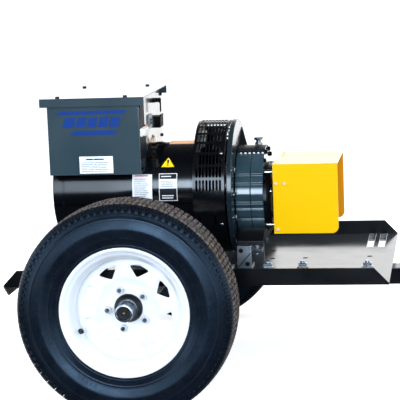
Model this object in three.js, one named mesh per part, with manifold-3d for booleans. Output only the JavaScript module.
// Two-wheel trailer carrying a tractor-driven generator: alternator, step-up gearbox, outlet box.
// Millimetres, +Z up. +X runs from the axle to the hitch, -Y is the outlet box's display side.
import * as THREE from 'three';
import { mergeVertices } from 'three/addons/utils/BufferGeometryUtils.js';
import Module from 'manifold-3d';

const wasm = await Module();
wasm.setup();

// ---------------------------------------------------------------- driving dimensions
const GAP = 0.3;                       // clearance between pieces that touch

const AXLE_HEIGHT = 306;               // wheel centre above the ground
const TRACK = 1220;                    // distance between the wheels' middle planes
const TYRE_RADIUS = 306;
const TYRE_WIDTH = 175;
const RIM_RADIUS = 182.5;              // over the rim's flanges
const RIM_HALF_WIDTH = 70;
const BEAD_RADIUS = 165;               // 13 inch bead seat
const PILOT_RADIUS = 40.5;             // centre hole of the wheel disc
const LUG_CIRCLE = 57.15;              // 4.5 inch bolt circle
const LUG_COUNT = 5;
const WINDOW_COUNT = 8;
const WINDOW_PHASE = 18;               // degrees from the first window to the first lug
const WHEEL_SIDES = 24;
const ROUND_SIDES = 36;                // sides of the large turned pieces

const DECK_REAR = -415;
const DECK_FRONT = 712;
const DECK_HALF_WIDTH = 400;
const DECK_BOTTOM = 322;
const PLATE = 5;
const DECK_TOP = DECK_BOTTOM + PLATE;
const FLANGE_TOP = 371;
const FLANGE_CHAMFER = 42;
const APRON_BOTTOM = 289;
const APRON_CORNER = 45;
const DECK_SLOTS = [[330, 106], [340, -20], [441, -17], [638, 1]];
const DECK_SLOT_RADIUS = 9;
const CROSS_MEMBERS = [341, 446, 639];  // hat sections between deck and drawbar
const CROSS_MEMBER_HALF_LENGTH = 195;

const DRAWBAR_HALF_WIDTH = 38;
const DRAWBAR_BOTTOM = 247;
const DRAWBAR_TOP = 298;
const DRAWBAR_WALL = 5;
const DRAWBAR_FRONT = 1240;
const HITCH_FRONT = 1385;
const HITCH_PIN_X = 1345;
const HITCH_PIN_RADIUS = 12;

const AXLE_BEAM = 50;                  // square tube under the deck
const AXLE_BEAM_END = 430;
const SPINDLE_RADIUS = 22;
const DROP_PLATE = 12;                 // carries the spindle below the beam's end
const DROP_PLATE_HALF_WIDTH = 38;
const DROP_PLATE_BOTTOM = 262;
const DROP_PLATE_TOP = 345;

const STAND_X = 1010;
const STAND_FOOT = 8;                  // foot plate thickness
const STAND_LEG_TOP = 600;
const SLEEVE_BOTTOM = 195;
const SLEEVE_TOP = 405;
const CLAMP_HEIGHT = 345;

const SHAFT_Z = 554;                   // common axis of alternator and drive shaft
const BARREL_RADIUS = 143;
const BARREL_REAR = -300;
const BARREL_FRONT = 126.7;
const BARREL_WALL = 8;
const END_BELL_REAR = -315;
const CORE_REAR = -240;                // laminated stator stack
const CORE_FRONT = 40;
const WINDING_OVERHANG = 38;           // end turns beyond each end of the stack
const JOURNAL_RADIUS = 22;
const ROTOR_SHAFT_RADIUS = 30;
const PINION_SEAT_RADIUS = 19.5;
const POLE_RADIUS = 106;
const FAN_RADIUS = 184;
const FAN_BLADES = 8;
const GUARD_RADIUS = 205;
const GUARD_FRONT = 222;
const FLANGE_RADIUS = 208;
const FLANGE_REAR = 229;
const FLANGE_FRONT = 244;

const GEARBOX_REAR = 252;
const GEARBOX_SEAM = 292;
const GEARBOX_FRONT = 330;
const GEARBOX_Z = 538;                 // centre of the round housing
const GEARBOX_RADIUS = 142;
const GEARBOX_WALL = 10;

const MODULE = 3;                      // gear tooth size
const LARGE_TEETH = 31;
const SMALL_TEETH = 17;
const CENTRE_DISTANCE = (LARGE_TEETH + SMALL_TEETH) * MODULE / 2;
const COUNTER_Z = SHAFT_Z - CENTRE_DISTANCE;
const GEAR_WIDTH = 18;
const LAYSHAFT_RADIUS = 13;
const SHAFT_CLEARANCE = 0.7;           // running clearance round the shafts in the housing
const FAST_GEAR_X = 268;               // plane of the alternator pinion
const SLOW_GEAR_X = 297;               // plane of the drive shaft gear

const SHIELD_REAR = 361;
const SHIELD_FRONT = 555;
const SHIELD_HALF_WIDTH = 140;
const SHIELD_BOTTOM = 426;
const SHIELD_TOP = 637;
const SHIELD_SHEET = 3;
const COVER_FRONT = 348;               // round bearing cover on the gearbox

const BOX_REAR = -309;
const BOX_FRONT = -28;
const BOX_NEAR = -190;
const BOX_FAR = 195;
const BOX_BOTTOM = 621;
const BOX_SHEET = 3;
const LID_REAR = -329;
const LID_FRONT = -10;
const LID_NEAR = -200;
const LID_FAR = 205;
const LID_TOP = 854;
const LID_LIP = 26;
const LID_SCREWS = [[-280, -168], [-71, -174], [-272, 176], [-69, 190]];
const LID_SCREW_RADIUS = 6.5;
const LID_SCREW_HEIGHT = 4;

const CENTRE_X = (DECK_REAR + HITCH_FRONT) / 2;

// ---------------------------------------------------------------- solids
// A closed body from a geometry: shared vertices merged, faces turned outwards.
function solid(geometry) {
  const plain = geometry.index ? geometry.toNonIndexed() : geometry.clone();
  plain.deleteAttribute('normal');
  plain.deleteAttribute('uv');
  const merged = mergeVertices(plain, 1e-3);
  const index = Array.from(merged.index.array);
  const kept = [];
  for (let i = 0; i < index.length; i += 3) {
    const [a, b, c] = index.slice(i, i + 3);
    if (a !== b && b !== c && a !== c) kept.push(a, b, c);
  }
  const positions = merged.getAttribute('position');
  if (signedVolume(positions, kept) < 0) kept.reverse();
  return new wasm.Manifold(new wasm.Mesh({
    numProp: 3,
    vertProperties: Float32Array.from(positions.array),
    triVerts: Uint32Array.from(kept),
  }));
}

function signedVolume(positions, index) {
  const corners = [new THREE.Vector3(), new THREE.Vector3(), new THREE.Vector3()];
  let volume = 0;
  for (let i = 0; i < index.length; i += 3) {
    corners.forEach((corner, k) => corner.fromBufferAttribute(positions, index[i + k]));
    volume += corners[0].dot(corners[1].clone().cross(corners[2]));
  }
  return volume;
}

function geometryOf(body) {
  const mesh = body.getMesh();
  const geometry = new THREE.BufferGeometry();
  geometry.setAttribute('position', new THREE.BufferAttribute(Float32Array.from(mesh.vertProperties), 3));
  geometry.setIndex(Array.from(mesh.triVerts));
  geometry.computeVertexNormals();
  return geometry;
}

function block([x0, x1], [y0, y1], [z0, z1]) {
  const geometry = new THREE.BoxGeometry(x1 - x0, y1 - y0, z1 - z0);
  geometry.translate((x0 + x1) / 2, (y0 + y1) / 2, (z0 + z1) / 2);
  return solid(geometry);
}

// Bases that carry a drawing's own x, y and depth onto the trailer's axes.
const PLANES = {
  xy: [new THREE.Vector3(1, 0, 0), new THREE.Vector3(0, 1, 0), new THREE.Vector3(0, 0, 1)],
  yz: [new THREE.Vector3(0, 1, 0), new THREE.Vector3(0, 0, 1), new THREE.Vector3(1, 0, 0)],
  xz: [new THREE.Vector3(1, 0, 0), new THREE.Vector3(0, 0, 1), new THREE.Vector3(0, -1, 0)],
};

// A straight prism of an outline between two positions along the plane's normal.
function prism(plane, outline, from, to, holes = []) {
  const shape = outline instanceof THREE.Shape ? outline : polygon(outline);
  shape.holes.push(...holes);
  const geometry = new THREE.ExtrudeGeometry(shape, {
    depth: to - from, bevelEnabled: false, curveSegments: 6,
  });
  geometry.translate(0, 0, plane === 'xz' ? -to : from);
  geometry.applyMatrix4(new THREE.Matrix4().makeBasis(...PLANES[plane]));
  return solid(geometry);
}

function polygon(points) {
  return new THREE.Shape(points.map(([x, y]) => new THREE.Vector2(x, y)));
}

function ring(count, radius, [cx, cy] = [0, 0], phase = 0) {
  return Array.from({ length: count }, (_, k) => {
    const angle = phase + 2 * Math.PI * k / count;
    return [cx + radius * Math.cos(angle), cy + radius * Math.sin(angle)];
  });
}

function rod(plane, radius, centre, from, to, sides = 16) {
  return prism(plane, ring(sides, radius, centre, Math.PI / sides), from, to);
}

// A turned piece: profile points are [radius, position along the axis].
function turned(axis, profile, sides, centre = [0, 0]) {
  const points = profile.map(([radius, along]) => new THREE.Vector2(radius, along));
  if (profile[0][0] > 0) points.push(points[0].clone());
  const geometry = new THREE.LatheGeometry(points, sides, Math.PI / sides);
  if (axis === 'x') {
    geometry.rotateZ(-Math.PI / 2);
    geometry.translate(0, centre[0], centre[1]);
  }
  if (axis === 'y') geometry.translate(centre[0], 0, centre[1]);
  if (axis === 'z') geometry.rotateX(Math.PI / 2);
  return solid(geometry);
}

function tube(axis, inner, outer, from, to, sides, centre) {
  return turned(axis, [[inner, from], [outer, from], [outer, to], [inner, to]], sides, centre);
}

// ---------------------------------------------------------------- colours
const BLACK = { color: 0x0b0c0e, roughness: 0.35, metalness: 0.1 };
const SLATE = { color: 0x3b4850, roughness: 0.45, metalness: 0.1 };
const WHITE = { color: 0xe9eaec, roughness: 0.35, metalness: 0.1 };
const YELLOW = { color: 0xf7c400, roughness: 0.4, metalness: 0.1 };
const ZINC = { color: 0xb9bec2, roughness: 0.3, metalness: 0.9 };
const STEEL = { color: 0x85898c, roughness: 0.4, metalness: 0.9 };
const COPPER = { color: 0xa35a2c, roughness: 0.4, metalness: 0.8 };
const BRASS = { color: 0xc9a24c, roughness: 0.35, metalness: 0.9 };
const RUBBER = { color: 0x1a1b1d, roughness: 0.85, metalness: 0 };
const PLASTIC = { color: 0x101113, roughness: 0.5, metalness: 0 };
const IVORY = { color: 0xe6e4dd, roughness: 0.45, metalness: 0 };
const GREY = { color: 0x9aa0a4, roughness: 0.5, metalness: 0 };

const trailer = new THREE.Group();
trailer.position.x = -CENTRE_X;

function add(name, body, look, parent = trailer) {
  const mesh = new THREE.Mesh(geometryOf(body), new THREE.MeshStandardMaterial(look));
  mesh.name = name;
  parent.add(mesh);
  return mesh;
}

// ---------------------------------------------------------------- trailer frame
function deck() {
  const sideOutline = [
    [DECK_REAR, DECK_BOTTOM],
    [DECK_FRONT, DECK_BOTTOM],
    [DECK_FRONT, DECK_TOP],
    [DECK_FRONT - FLANGE_CHAMFER, FLANGE_TOP],
    [DECK_REAR + FLANGE_CHAMFER, FLANGE_TOP],
    [DECK_REAR, DECK_TOP],
  ];
  const apronOutline = [
    [-DECK_HALF_WIDTH, DECK_TOP],
    [-DECK_HALF_WIDTH, DECK_BOTTOM],
    [-DECK_HALF_WIDTH + APRON_CORNER, APRON_BOTTOM],
    [DECK_HALF_WIDTH - APRON_CORNER, APRON_BOTTOM],
    [DECK_HALF_WIDTH, DECK_BOTTOM],
    [DECK_HALF_WIDTH, DECK_TOP],
  ];
  let body = block([DECK_REAR, DECK_FRONT], [-DECK_HALF_WIDTH, DECK_HALF_WIDTH], [DECK_BOTTOM, DECK_TOP])
    .add(prism('xz', sideOutline, -DECK_HALF_WIDTH, -DECK_HALF_WIDTH + PLATE))
    .add(prism('xz', sideOutline, DECK_HALF_WIDTH - PLATE, DECK_HALF_WIDTH))
    .add(prism('yz', apronOutline, DECK_REAR, DECK_REAR + PLATE));
  for (const slot of DECK_SLOTS) {
    body = body.subtract(rod('xy', DECK_SLOT_RADIUS, slot, DECK_BOTTOM - 1, DECK_TOP + 1, 12));
  }
  add('deck', body, BLACK);
}

// Hat-shaped spacers bolted under the deck, resting on the drawbar.
function crossMembers() {
  const halfWidth = 25;
  const wall = 4;
  const bottom = DRAWBAR_TOP + GAP;
  const top = DECK_BOTTOM - GAP;
  CROSS_MEMBERS.forEach((x, k) => {
    const outline = [
      [x - halfWidth, bottom],
      [x - halfWidth + wall, bottom],
      [x - halfWidth + wall, top - wall],
      [x + halfWidth - wall, top - wall],
      [x + halfWidth - wall, bottom],
      [x + halfWidth, bottom],
      [x + halfWidth, top],
      [x - halfWidth, top],
    ];
    add(`cross_member_${k + 1}`, prism(
      'xz', outline, -CROSS_MEMBER_HALF_LENGTH, CROSS_MEMBER_HALF_LENGTH,
    ), BLACK);
  });
}

function drawbar() {
  const outer = rectangle(DRAWBAR_HALF_WIDTH, DRAWBAR_BOTTOM, DRAWBAR_TOP);
  const inner = rectangle(
    DRAWBAR_HALF_WIDTH - DRAWBAR_WALL,
    DRAWBAR_BOTTOM + DRAWBAR_WALL,
    DRAWBAR_TOP - DRAWBAR_WALL,
  );
  const rear = AXLE_BEAM / 2 + GAP;
  add('drawbar', prism('yz', outer, rear, DRAWBAR_FRONT, [polygon(inner)]), BLACK);
}

function rectangle(halfWidth, bottom, top) {
  return [[-halfWidth, bottom], [halfWidth, bottom], [halfWidth, top], [-halfWidth, top]];
}

function axleBeam() {
  const top = DECK_BOTTOM - GAP;
  const half = AXLE_BEAM / 2;
  const wall = 6;
  const outer = [[-half, top - AXLE_BEAM], [half, top - AXLE_BEAM], [half, top], [-half, top]];
  const inner = [
    [-half + wall, top - AXLE_BEAM + wall],
    [half - wall, top - AXLE_BEAM + wall],
    [half - wall, top - wall],
    [-half + wall, top - wall],
  ];
  add('axle_beam', prism('xz', outer, -AXLE_BEAM_END, AXLE_BEAM_END, [polygon(inner)]), BLACK);
}

// Drop plate and spindle at each end of the beam; the profile runs outwards from the plate.
function spindles() {
  const collarRadius = 30;
  const collarEnd = TRACK / 2 - 82;
  const spindleEnd = TRACK / 2 + 46;
  const plateStart = AXLE_BEAM_END + GAP;
  const plateEnd = plateStart + DROP_PLATE;
  const profile = [
    [0, plateEnd - 2],
    [collarRadius, plateEnd - 2],
    [collarRadius, collarEnd],
    [SPINDLE_RADIUS, collarEnd + 4],
    [SPINDLE_RADIUS, spindleEnd],
    [0, spindleEnd],
  ];
  const plateOutline = rectangle(DROP_PLATE_HALF_WIDTH, DROP_PLATE_BOTTOM, DROP_PLATE_TOP);
  for (const [name, side] of [['near', -1], ['far', 1]]) {
    const plate = prism('xz', plateOutline, plateStart, plateEnd);
    const stub = turned('y', profile, 20, [0, AXLE_HEIGHT]);
    const mesh = add(`${name}_spindle`, plate.add(stub), STEEL);
    if (side < 0) mesh.rotation.z = Math.PI;
  }
}

// Clevis: two jaws with an open throat for the tractor's drawbar.
function hitch() {
  const rear = DRAWBAR_FRONT + GAP;
  const webFront = rear + 24;
  const noseRadius = 34;
  const noseX = HITCH_FRONT - noseRadius;
  const jawBottom = DRAWBAR_BOTTOM;
  const jawTop = DRAWBAR_TOP + 23;
  const jawThickness = 16;
  const outline = new THREE.Shape();
  outline.moveTo(rear, -noseRadius);
  outline.lineTo(noseX, -noseRadius);
  outline.absarc(noseX, 0, noseRadius, -Math.PI / 2, Math.PI / 2, false);
  outline.lineTo(rear, noseRadius);
  const throat = block(
    [webFront, HITCH_FRONT + 1],
    [-noseRadius - 1, noseRadius + 1],
    [jawBottom + jawThickness, jawTop - jawThickness],
  );
  const pinHole = rod('xy', HITCH_PIN_RADIUS + 1, [HITCH_PIN_X, 0], jawBottom - 1, jawTop + 1, 20);
  add('hitch_clevis', prism('xy', outline, jawBottom, jawTop).subtract(throat).subtract(pinHole), BLACK);

  const headRadius = 19;
  const headThickness = 12;
  const headBottom = jawTop + GAP - jawBottom;
  const tip = -14;
  const taper = 6;
  const pin = turned('z', [
    [0, tip],
    [HITCH_PIN_RADIUS - 3, tip],
    [HITCH_PIN_RADIUS, tip + taper],
    [HITCH_PIN_RADIUS, headBottom],
    [headRadius, headBottom],
    [headRadius, headBottom + headThickness],
    [0, headBottom + headThickness],
  ], 20);
  const mesh = add('hitch_pin', pin, ZINC);
  mesh.position.set(HITCH_PIN_X, 0, jawBottom);
}

// Parking stand: a square leg in a sleeve welded to the drawbar, held by a clamp screw.
function stand() {
  const sleeveHalf = 25;
  const sleeveWall = 4;
  const legHalf = 20;
  const legWall = 4;
  const centreY = -DRAWBAR_HALF_WIDTH - GAP - sleeveHalf;
  const square = (half) => [
    [STAND_X - half, centreY - half],
    [STAND_X + half, centreY - half],
    [STAND_X + half, centreY + half],
    [STAND_X - half, centreY + half],
  ];
  const sleeveFace = centreY - sleeveHalf;
  const bossEnd = sleeveFace - 16;
  const boss = rod('xz', 14, [STAND_X, CLAMP_HEIGHT], bossEnd, sleeveFace + 1);
  const screwHole = rod('xz', 7, [STAND_X, CLAMP_HEIGHT], bossEnd - 1, centreY);
  const sleeve = prism('xy', square(sleeveHalf), SLEEVE_BOTTOM, SLEEVE_TOP,
    [polygon(square(sleeveHalf - sleeveWall))]);
  add('stand_sleeve', sleeve.add(boss).subtract(screwHole), BLACK);

  const footHalf = 70;
  const handleHalf = 75;
  const footPlate = block(
    [STAND_X - footHalf, STAND_X + footHalf],
    [centreY - footHalf, centreY + footHalf],
    [0, STAND_FOOT],
  );
  const handle = rod('xz', 8, [STAND_X, STAND_LEG_TOP - 25], centreY - handleHalf, centreY + handleHalf, 12);
  const leg = prism('xy', square(legHalf), STAND_FOOT - 1, STAND_LEG_TOP, [polygon(square(legHalf - legWall))]);
  add('stand_leg', leg.add(handle).add(footPlate), ZINC);

  const screw = rod('xz', 6, [STAND_X, CLAMP_HEIGHT], bossEnd - 26, centreY - legHalf - GAP, 12);
  const tommyBar = rod('yz', 5, [bossEnd - 20, CLAMP_HEIGHT], STAND_X - 45, STAND_X + 45, 10);
  add('stand_clamp', screw.add(tommyBar), ZINC);
}

// ---------------------------------------------------------------- wheels
// A wheel is drawn about its own middle plane with +Y outboard; the near one is turned round.
function wheels() {
  for (const [name, side] of [['near', -1], ['far', 1]]) {
    const wheel = new THREE.Group();
    wheel.position.set(0, side * TRACK / 2, AXLE_HEIGHT);
    if (side < 0) wheel.rotation.z = Math.PI;
    trailer.add(wheel);
    add(`${name}_tyre`, tyreBody(), RUBBER, wheel);
    add(`${name}_rim`, rimBody(), WHITE, wheel);
    add(`${name}_hub`, hubBody(), STEEL, wheel);
  }
}

function mirrored(half) {
  return [...half, ...half.slice().reverse().map(([radius, y]) => [radius, -y])];
}

function tyreBody() {
  const flat = 1 / Math.cos(Math.PI / WHEEL_SIDES);      // keeps the flats at the true radius
  const wide = TYRE_WIDTH / 2;
  const outside = mirrored([[166, 56], [184, 66], [203, 80], [238, wide], [270, 82], [293, 73],
    [TYRE_RADIUS, 55]]);
  const inside = mirrored([[166, 44], [203, 68], [238, 76], [290, 56]]).reverse();
  const profile = [...outside, ...inside].map(([radius, y]) => [radius * flat, y]);
  return turned('y', profile, WHEEL_SIDES);
}

function rimBody() {
  const seat = BEAD_RADIUS;
  const drop = 148;                    // bottom of the drop centre
  const sheet = 3.5;
  const barrel = [
    [RIM_RADIUS, RIM_HALF_WIDTH], [RIM_RADIUS, RIM_HALF_WIDTH - sheet], [seat, 58],
    [drop, 29], [drop, -11], [seat, -58], [RIM_RADIUS, -RIM_HALF_WIDTH + sheet],
    [RIM_RADIUS, -RIM_HALF_WIDTH], [seat - sheet, -60], [drop - sheet, -12],
    [drop - sheet, 30], [seat - sheet, 60],
  ];
  const disc = [
    [PILOT_RADIUS, 3], [74, 3], [88, 13], [126, 13], [146, 3], [146, -1],
    [126, 9], [89.5, 9], [75.5, -1], [PILOT_RADIUS, -1],
  ];
  let body = turned('y', barrel, WHEEL_SIDES).add(turned('y', disc, WHEEL_SIDES));
  for (let k = 0; k < WINDOW_COUNT; k += 1) {
    body = body.subtract(windowCutter(k * 360 / WINDOW_COUNT + WINDOW_PHASE));
  }
  for (const [x, z] of ring(LUG_COUNT, LUG_CIRCLE)) {
    body = body.subtract(rod('xz', 7.8, [x, z], -5, 8, 8));
  }
  return body;
}

// Triangular opening in the wheel disc, its point towards the hub.
function windowCutter(degrees) {
  const corners = [[120, -11.5], [97, -2.5], [97, 2.5], [120, 11.5], [123.5, 0]];
  const outline = corners.map(([radius, angle]) => {
    const turn = THREE.MathUtils.degToRad(degrees + angle);
    return [radius * Math.cos(turn), radius * Math.sin(turn)];
  });
  return prism('xz', outline, -5, 25);
}

// Hub barrel with its flange, wheel studs and lug nuts.
function hubBody() {
  const bore = SPINDLE_RADIUS + 0.8;
  const flangeFace = -1 - GAP;
  const pilot = PILOT_RADIUS - 1;
  let body = turned('y', [
    [bore, -76], [38, -76], [38, -11], [72, -11], [72, flangeFace], [pilot, flangeFace], [pilot, 7],
    [28, 14], [28, 75], [0, 75], [0, 52], [bore, 52],
  ], 20);
  for (const [x, z] of ring(LUG_COUNT, LUG_CIRCLE)) {
    body = body
      .add(rod('xz', 6.3, [x, z], -6, 26, 6))
      .add(rod('xz', 11.5, [x, z], 3 + GAP, 19, 6));
  }
  return body;
}

// ---------------------------------------------------------------- alternator
function alternator() {
  const axis = [0, SHAFT_Z];
  const inner = BARREL_RADIUS - BARREL_WALL;
  const coreInner = 108;
  const windingInner = 111;
  const windingOuter = 130;
  add('barrel', tube('x', inner, BARREL_RADIUS, BARREL_REAR, BARREL_FRONT, ROUND_SIDES, axis), BLACK);
  add('stator_core', tube('x', coreInner, inner - GAP, CORE_REAR, CORE_FRONT, ROUND_SIDES, axis), STEEL);
  add('winding_rear', tube('x', windingInner, windingOuter, CORE_REAR - WINDING_OVERHANG,
    CORE_REAR - GAP, 20, axis), COPPER);
  add('winding_front', tube('x', windingInner, windingOuter, CORE_FRONT + GAP,
    CORE_FRONT + WINDING_OVERHANG, 20, axis), COPPER);
  endBell(axis);
  add('rotor_shaft', rotorShaft(axis), STEEL);
  add('rotor_core', rotorCore(), STEEL);
  add('cooling_fan', coolingFan(axis), STEEL);
}

// Rear end plate with air holes, the bearing in its boss and the cap over it.
function endBell(axis) {
  const boss = 50;
  const bossRear = END_BELL_REAR - 7;
  const bossFront = -284;
  const bearingOuter = 34;
  const airHoleRadius = 24;
  const airHoleCircle = 95;
  let bell = turned('x', [
    [bearingOuter + 0.5, bossRear],
    [boss, bossRear],
    [boss, END_BELL_REAR],
    [BARREL_RADIUS + 2, END_BELL_REAR],
    [BARREL_RADIUS + 2, BARREL_REAR - GAP],
    [boss, BARREL_REAR - GAP],
    [boss, bossFront],
    [bearingOuter + 0.5, bossFront],
  ], ROUND_SIDES, axis);
  for (const hole of ring(6, airHoleCircle, axis)) {
    bell = bell.subtract(rod('yz', airHoleRadius, hole, bossRear - 1, bossFront - 1, 6));
  }
  add('end_bell', bell, BLACK);
  const bearing = tube('x', JOURNAL_RADIUS + 0.8, bearingOuter, bossRear + 4, bossFront - 6, 20, axis);
  add('rear_bearing', bearing, STEEL);

  const capRear = bossRear - 12;
  const capFront = bossRear - GAP;
  const capRadius = 42;
  const capInner = 30;
  add('bearing_cap', turned('x', [
    [0, capRear],
    [capRadius, capRear],
    [capRadius, capFront],
    [capInner, capFront],
    [capInner, capRear + 6],
    [0, capRear + 6],
  ], 20, axis), BLACK);
}

// Rear journal, main shaft and the reduced seat of the pinion inside the gearbox.
function rotorShaft(axis) {
  const rear = -320;
  const journalFront = -270;
  const mainFront = 215;
  const seatRear = 225;
  const end = FAST_GEAR_X + GEAR_WIDTH + 3;
  const shaft = turned('x', [
    [0, rear],
    [JOURNAL_RADIUS, rear],
    [JOURNAL_RADIUS, journalFront],
    [ROTOR_SHAFT_RADIUS, journalFront],
    [ROTOR_SHAFT_RADIUS, mainFront],
    [PINION_SEAT_RADIUS, seatRear],
    [PINION_SEAT_RADIUS, end],
    [0, end],
  ], 20, axis);
  return shaft.add(gear(SMALL_TEETH, axis, FAST_GEAR_X, 0));
}

// Four salient poles on a square body.
function rotorCore() {
  const rootHalf = 62;
  const neckHalf = 42;
  const faceAngles = [-0.58, -0.3, 0, 0.3, 0.58];
  const pole = [
    [rootHalf, -neckHalf],
    ...faceAngles.map((angle) => [POLE_RADIUS * Math.cos(angle), POLE_RADIUS * Math.sin(angle)]),
    [rootHalf, neckHalf],
  ];
  const outline = [];
  for (let k = 0; k < 4; k += 1) {
    pole.forEach(([x, y]) => outline.push(rotated(x, y, k * Math.PI / 2)));
  }
  const shifted = outline.map(([y, z]) => [y, z + SHAFT_Z]);
  const bore = polygon(ring(20, ROTOR_SHAFT_RADIUS + 1, [0, SHAFT_Z], Math.PI / 20));
  return prism('yz', shifted, CORE_REAR + 4, CORE_FRONT - 4, [bore]);
}

function rotated(x, y, turn) {
  return [x * Math.cos(turn) - y * Math.sin(turn), x * Math.sin(turn) + y * Math.cos(turn)];
}

// Hub, backing disc and straight radial blades.
function coolingFan(axis) {
  const bore = ROTOR_SHAFT_RADIUS + 1;
  const hubRadius = 60;
  const hubRear = 150;
  const hubFront = 200;
  const discRear = 156;
  const discFront = 160;
  const bladeHalf = 2;
  let body = turned('x', [
    [bore, hubRear],
    [hubRadius, hubRear],
    [hubRadius, discRear],
    [FAN_RADIUS, discRear],
    [FAN_RADIUS, discFront],
    [hubRadius, discFront],
    [hubRadius, hubFront],
    [bore, hubFront],
  ], 24, axis);
  for (let k = 0; k < FAN_BLADES; k += 1) {
    const blade = block([discFront - 2, hubFront], [hubRadius + 30, FAN_RADIUS - 2], [-bladeHalf, bladeHalf])
      .rotate([k * 360 / FAN_BLADES, 0, 0])
      .translate([0, axis[0], axis[1]]);
    body = body.add(blade);
  }
  return body;
}

// Perforated drum round the fan, with a closing plate on the barrel side.
function fanGuard() {
  const sheet = 3;
  const inner = GUARD_RADIUS - sheet;
  const overlap = BARREL_RADIUS - 20;
  const rear = BARREL_FRONT + GAP;
  const windowRear = rear + 12;
  const windowFront = GUARD_FRONT - 9;
  const windowHalf = 24;
  const windowCount = 8;
  const firstWindow = -50;             // degrees below the far side, running over the top
  const windowSweep = 280;
  let body = turned('x', [
    [overlap, rear],
    [GUARD_RADIUS, rear],
    [GUARD_RADIUS, GUARD_FRONT],
    [inner, GUARD_FRONT],
    [inner, rear + sheet],
    [overlap, rear + sheet],
  ], ROUND_SIDES, [0, SHAFT_Z]);
  for (let k = 0; k < windowCount; k += 1) {
    const cutter = block([windowRear, windowFront], [inner - 20, GUARD_RADIUS + 10], [-windowHalf, windowHalf])
      .rotate([firstWindow + k * windowSweep / (windowCount - 1), 0, 0])
      .translate([0, 0, SHAFT_Z]);
    body = body.subtract(cutter);
  }
  add('fan_guard', body, BLACK);
}

// Round plate between guard and gearbox with a spigot that reaches the housing.
function adapter() {
  const bore = 60;
  const spigot = 112;
  const spigotFront = GEARBOX_REAR - GAP;
  const profile = [
    [bore, FLANGE_REAR],
    [FLANGE_RADIUS, FLANGE_REAR],
    [FLANGE_RADIUS, FLANGE_FRONT],
    [spigot, FLANGE_FRONT],
    [spigot, spigotFront],
    [bore, spigotFront],
  ];
  add('adapter_flange', turned('x', profile, ROUND_SIDES, [0, SHAFT_Z]), BLACK);
}

// ---------------------------------------------------------------- gearbox
// Spur gear outline with straight flanks; the tooth gap is wider than the tooth.
function gear(teeth, centre, rear, phase, bore = 0) {
  const pitch = teeth * MODULE / 2;
  const tip = pitch + 0.9 * MODULE;
  const root = pitch - 1.15 * MODULE;
  const tipHalf = 0.115 * 2 * Math.PI / teeth;
  const rootHalf = 0.27 * 2 * Math.PI / teeth;
  const outline = [];
  for (let k = 0; k < teeth; k += 1) {
    const angle = phase + 2 * Math.PI * k / teeth;
    for (const [radius, offset] of [[root, -rootHalf], [tip, -tipHalf], [tip, tipHalf], [root, rootHalf]]) {
      outline.push([
        centre[0] + radius * Math.cos(angle + offset),
        centre[1] + radius * Math.sin(angle + offset),
      ]);
    }
  }
  const holes = bore > 0 ? [polygon(ring(20, bore, centre))] : [];
  return prism('yz', outline, rear, rear + GEAR_WIDTH, holes);
}

// Mesh condition: a tooth of one gear points at a tooth space of the other along the line of centres.
function meshPhase(teeth, towards) {
  return towards + Math.PI / teeth;
}

function gearTrain() {
  const main = [0, SHAFT_Z];
  const counter = [0, COUNTER_Z];
  const down = -Math.PI / 2;
  const up = Math.PI / 2;
  const seatFront = 352;
  const neckFront = 385;
  const splineFront = 470;
  const neckRadius = 17;
  const input = turned('x', [
    [0, SLOW_GEAR_X - 2],
    [PINION_SEAT_RADIUS, SLOW_GEAR_X - 2],
    [PINION_SEAT_RADIUS, seatFront],
    [neckRadius, seatFront],
    [neckRadius, neckFront],
    [0, neckFront],
  ], 20, main).add(prism('yz', splineOutline(main), neckFront - 1, splineFront));
  add('input_shaft', input, STEEL);
  add('input_gear', gear(LARGE_TEETH, main, SLOW_GEAR_X, down, PINION_SEAT_RADIUS + SHAFT_CLEARANCE), STEEL);

  const layshaftRear = 256;
  const layshaftFront = 326;
  const layshaft = turned('x', [
    [0, layshaftRear],
    [LAYSHAFT_RADIUS, layshaftRear],
    [LAYSHAFT_RADIUS, layshaftFront],
    [0, layshaftFront],
  ], 16, counter).add(gear(SMALL_TEETH, counter, SLOW_GEAR_X, meshPhase(SMALL_TEETH, up)));
  add('counter_shaft', layshaft, STEEL);
  const largePhase = meshPhase(LARGE_TEETH, up) + pinionOffset(down);
  add('counter_gear', gear(LARGE_TEETH, counter, FAST_GEAR_X, largePhase, LAYSHAFT_RADIUS + 0.6), STEEL);
}

// Six-spline stub for the tractor's drive shaft.
function splineOutline([cy, cz]) {
  const splineCount = 6;
  const root = 14.5;
  const tip = 17.4;
  const outline = [];
  for (let k = 0; k < splineCount; k += 1) {
    const middle = 2 * Math.PI * k / splineCount;
    for (const [radius, offset] of [[root, -0.36], [tip, -0.26], [tip, 0.26], [root, 0.36]]) {
      outline.push([cy + radius * Math.cos(middle + offset), cz + radius * Math.sin(middle + offset)]);
    }
  }
  return outline;
}

// The alternator pinion's tooth 0 points along +Y, so the counter gear takes up the difference.
function pinionOffset(down) {
  const step = 2 * Math.PI / SMALL_TEETH;
  const remainder = ((down % step) + step) % step;
  return remainder * SMALL_TEETH / LARGE_TEETH;
}

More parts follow.
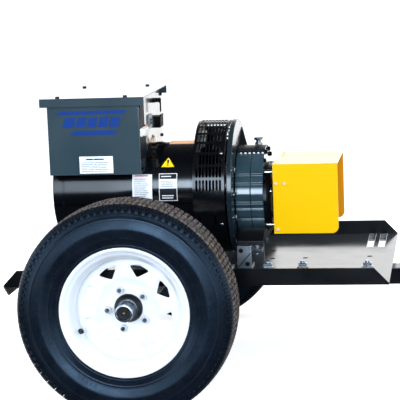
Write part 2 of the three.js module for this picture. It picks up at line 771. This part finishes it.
// Round two-part housing on a flat foot; the halves meet at the seam.
function gearboxHalves() {
  const footTop = 447;
  const footBottom = 395 + GAP;
  const footHalf = 160;
  const footFlange = 14;
  const footNeck = 110;
  const cavityRadius = GEARBOX_RADIUS - 12;
  const shaftBore = PINION_SEAT_RADIUS + SHAFT_CLEARANCE;
  const bearingBore = LAYSHAFT_RADIUS + 0.6;
  const bearingRear = 255;
  const bearingFront = 327;
  const half = (rear, front, cavityRear, cavityFront) => {
    const drum = rod('yz', GEARBOX_RADIUS, [0, GEARBOX_Z], rear, front, ROUND_SIDES);
    const foot = prism('yz', [
      [-footHalf, footBottom],
      [footHalf, footBottom],
      [footHalf, footBottom + footFlange],
      [footNeck, footTop],
      [-footNeck, footTop],
      [-footHalf, footBottom + footFlange],
    ], rear, front);
    return drum.add(foot).subtract(rod('yz', cavityRadius, [0, GEARBOX_Z], cavityRear, cavityFront, 24));
  };
  const rearHalf = half(GEARBOX_REAR, GEARBOX_SEAM - GAP, GEARBOX_REAR + GEARBOX_WALL, GEARBOX_SEAM + 1)
    .subtract(rod('yz', shaftBore, [0, SHAFT_Z], GEARBOX_REAR - 1, GEARBOX_SEAM, 20))
    .subtract(rod('yz', bearingBore, [0, COUNTER_Z], bearingRear, GEARBOX_SEAM, 20));
  const frontHalf = half(GEARBOX_SEAM, GEARBOX_FRONT, GEARBOX_SEAM - 1, GEARBOX_FRONT - GEARBOX_WALL)
    .subtract(rod('yz', shaftBore, [0, SHAFT_Z], GEARBOX_SEAM, GEARBOX_FRONT + 1, 20))
    .subtract(rod('yz', bearingBore, [0, COUNTER_Z], GEARBOX_SEAM, bearingFront, 20));
  add('gearbox_rear', rearHalf, SLATE);
  add('gearbox_front', frontHalf, SLATE);

  const coverRadius = 106;
  const coverCentre = [0, 520];
  const cover = rod('yz', coverRadius, coverCentre, GEARBOX_FRONT + GAP, COVER_FRONT, ROUND_SIDES)
    .subtract(rod('yz', shaftBore, [0, SHAFT_Z], GEARBOX_FRONT, COVER_FRONT + 1, 20));
  add('front_cover', cover, BLACK);

  const breatherX = 307;
  const housingTop = GEARBOX_Z + GEARBOX_RADIUS;
  const breatherNeck = rod('xy', 9, [breatherX, 0], housingTop + GAP, housingTop + 13, 12);
  const breatherHead = rod('xy', 15, [breatherX, 0], housingTop + 12, housingTop + 24, 6);
  add('breather', breatherNeck.add(breatherHead), ZINC);
}

// Folded channels under the gearbox foot and a plate cradle under the alternator.
function pedestals() {
  const outer = 172;
  const inner = 100;
  const top = 395;
  const wall = 6;
  const bottom = DECK_TOP + GAP;
  for (const [name, side] of [['near', -1], ['far', 1]]) {
    const outline = [
      [inner, bottom],
      [outer, bottom],
      [outer, top],
      [inner, top],
      [inner, top - wall],
      [outer - wall, top - wall],
      [outer - wall, bottom + wall],
      [inner, bottom + wall],
    ].map(([y, z]) => [side * y, z]);
    add(`${name}_pedestal`, prism('yz', outline, 250, 293), BLACK);
  }
  const cradleRear = -222;
  const cradleFront = -210;
  const cradle = prism('yz', [
    [-120, bottom], [120, bottom], [120, 345], [100, 470], [-100, 470], [-120, 345],
  ], cradleRear, cradleFront);
  const base = block([cradleRear - 28, cradleFront + 28], [-120, 120], [bottom, bottom + 8]);
  const seatRadius = BARREL_RADIUS + GAP + 0.4;
  const seat = rod('yz', seatRadius, [0, SHAFT_Z], cradleRear - 38, cradleFront + 40, ROUND_SIDES);
  add('rear_saddle', cradle.add(base).subtract(seat), BLACK);
}

// ---------------------------------------------------------------- drive shaft shield
function shield() {
  const backRear = SHIELD_REAR + GAP;
  const backFront = backRear + 4;
  const shaftHole = 62;
  const standoffRadius = 7;
  const hole = polygon(ring(24, shaftHole, [0, SHAFT_Z]));
  const halfBack = SHIELD_HALF_WIDTH - SHIELD_SHEET - GAP;
  const back = prism('yz', rectangle(halfBack, SHIELD_BOTTOM + 4, SHIELD_TOP - SHIELD_SHEET - GAP),
    backRear, backFront, [hole]);
  add('shield_back', back, BLACK);
  for (const [name, y, z] of [
    ['standoff_upper_near', -98, 608], ['standoff_upper_far', 98, 608],
    ['standoff_lower_near', -86, 445], ['standoff_lower_far', 86, 445],
  ]) {
    add(name, rod('yz', standoffRadius, [y, z], GEARBOX_FRONT + GAP, SHIELD_REAR, 6), ZINC);
  }

  const side = new THREE.Shape();
  const corner = 20;
  side.moveTo(SHIELD_REAR, SHIELD_BOTTOM);
  side.lineTo(SHIELD_FRONT - corner, SHIELD_BOTTOM);
  side.absarc(SHIELD_FRONT - corner, SHIELD_BOTTOM + corner, corner, -Math.PI / 2, 0, false);
  side.lineTo(SHIELD_FRONT, SHIELD_TOP);
  side.lineTo(SHIELD_REAR, SHIELD_TOP);
  const body = prism('xz', side, -SHIELD_HALF_WIDTH, SHIELD_HALF_WIDTH)
    .subtract(block(
      [SHIELD_REAR - 1, SHIELD_FRONT + 1],
      [-SHIELD_HALF_WIDTH + SHIELD_SHEET, SHIELD_HALF_WIDTH - SHIELD_SHEET],
      [SHIELD_BOTTOM - 1, SHIELD_TOP - SHIELD_SHEET],
    ));
  add('pto_shield', body, YELLOW);
}

// ---------------------------------------------------------------- outlet box
function outletBox() {
  const sheet = BOX_SHEET;
  const top = LID_TOP - sheet - GAP;
  const hollow = rod('yz', BARREL_RADIUS + 3, [0, SHAFT_Z], BOX_REAR - 1, BOX_FRONT + 1, ROUND_SIDES);
  const inside = block(
    [BOX_REAR + sheet, BOX_FRONT + 1],
    [BOX_NEAR + sheet, BOX_FAR - sheet],
    [BOX_BOTTOM + sheet, top + 1],
  );
  const openingHalf = 122;
  const floorOpening = block(
    [BOX_REAR + sheet, BOX_FRONT + 1],
    [-openingHalf, openingHalf],
    [BOX_BOTTOM - 1, BOX_BOTTOM + sheet + 2],
  );
  const shell = block([BOX_REAR, BOX_FRONT - sheet - GAP], [BOX_NEAR, BOX_FAR], [BOX_BOTTOM, top])
    .subtract(inside)
    .subtract(floorOpening)
    .subtract(hollow);
  add('box_shell', shell, SLATE);

  const panel = block([BOX_FRONT - sheet, BOX_FRONT], [BOX_NEAR, BOX_FAR], [BOX_BOTTOM, top]).subtract(hollow);
  add('outlet_panel', panel, SLATE);

  let lid = block([LID_REAR, LID_FRONT], [LID_NEAR, LID_FAR], [LID_TOP - LID_LIP, LID_TOP])
    .subtract(block(
      [LID_REAR - 1, LID_FRONT + 1],
      [LID_NEAR + sheet, LID_FAR - sheet],
      [LID_TOP - LID_LIP - 1, LID_TOP - sheet],
    ));
  for (const screw of LID_SCREWS) {
    lid = lid.add(rod('xy', LID_SCREW_RADIUS, screw, LID_TOP - 1, LID_TOP + LID_SCREW_HEIGHT, 12));
  }
  add('box_lid', lid, SLATE);

  add('voltage_regulator', block([-250, -120], [-90, 60], [700, 742]), PLASTIC);
  const lugBottom = SHAFT_Z + BARREL_RADIUS + 0.8;
  const lugTop = lugBottom + 16.2;
  add('ground_lug', block([-26, -6], [-40, -26], [lugBottom, lugTop])
    .add(rod('xy', 5, [-16, -33], lugTop - 1, lugTop + 7, 6)), BRASS);
}

// Switchgear and outlets on the panel; each body stands on the panel's face.
function outletDevices() {
  const face = BOX_FRONT + GAP;

  const disconnectFront = -12;
  const leverFront = -4;
  const leverPivot = [62, 818.5];
  add('disconnect_body', block([face, disconnectFront], [35, 88], [813, 824]), PLASTIC);
  const leverBoss = rod('yz', 8, leverPivot, disconnectFront + GAP, leverFront, 12);
  const leverArm = block([leverFront - 5, leverFront], [58, 66], [782, 818]);
  add('disconnect_lever', leverBoss.add(leverArm), PLASTIC);

  const receptacleFront = -10;
  const coverFront = -7;
  const socketHole = rod('yz', 14, [89, 749], receptacleFront - 10, receptacleFront + 1, 20);
  add('power_receptacle', block([face, receptacleFront], [62, 116], [731, 767]).subtract(socketHole), PLASTIC);
  const flap = block([receptacleFront + GAP, coverFront], [64, 114], [733, 769]);
  const hinge = rod('xz', 2.5, [coverFront - 1, 770.5], 66, 112, 8);
  add('receptacle_cover', flap.add(hinge), PLASTIC);

  const bezelFront = -22;
  const rockerPocket = block([bezelFront - 18, bezelFront + 1], [-41, -13], [753, 771]);
  add('breaker_bezel', block([face, bezelFront], [-56, 2], [741, 783]).subtract(rockerPocket), GREY);
  const rockerBack = -26.4;
  const rockerFront = -20;
  const rocker = prism('xz', [
    [rockerBack, 755],
    [rockerFront, 755],
    [rockerFront - 2.5, 762],
    [rockerFront, 769],
    [rockerBack, 769],
  ], -39, -15);
  add('breaker_rocker', rocker, PLASTIC);

  add('duplex_outlet', block([face, -13], [-186, -112], [733, 757]), IVORY);
}

deck();
crossMembers();
drawbar();
axleBeam();
spindles();
hitch();
stand();
wheels();
alternator();
fanGuard();
adapter();
gearTrain();
gearboxHalves();
pedestals();
shield();
outletBox();
outletDevices();

export default trailer;
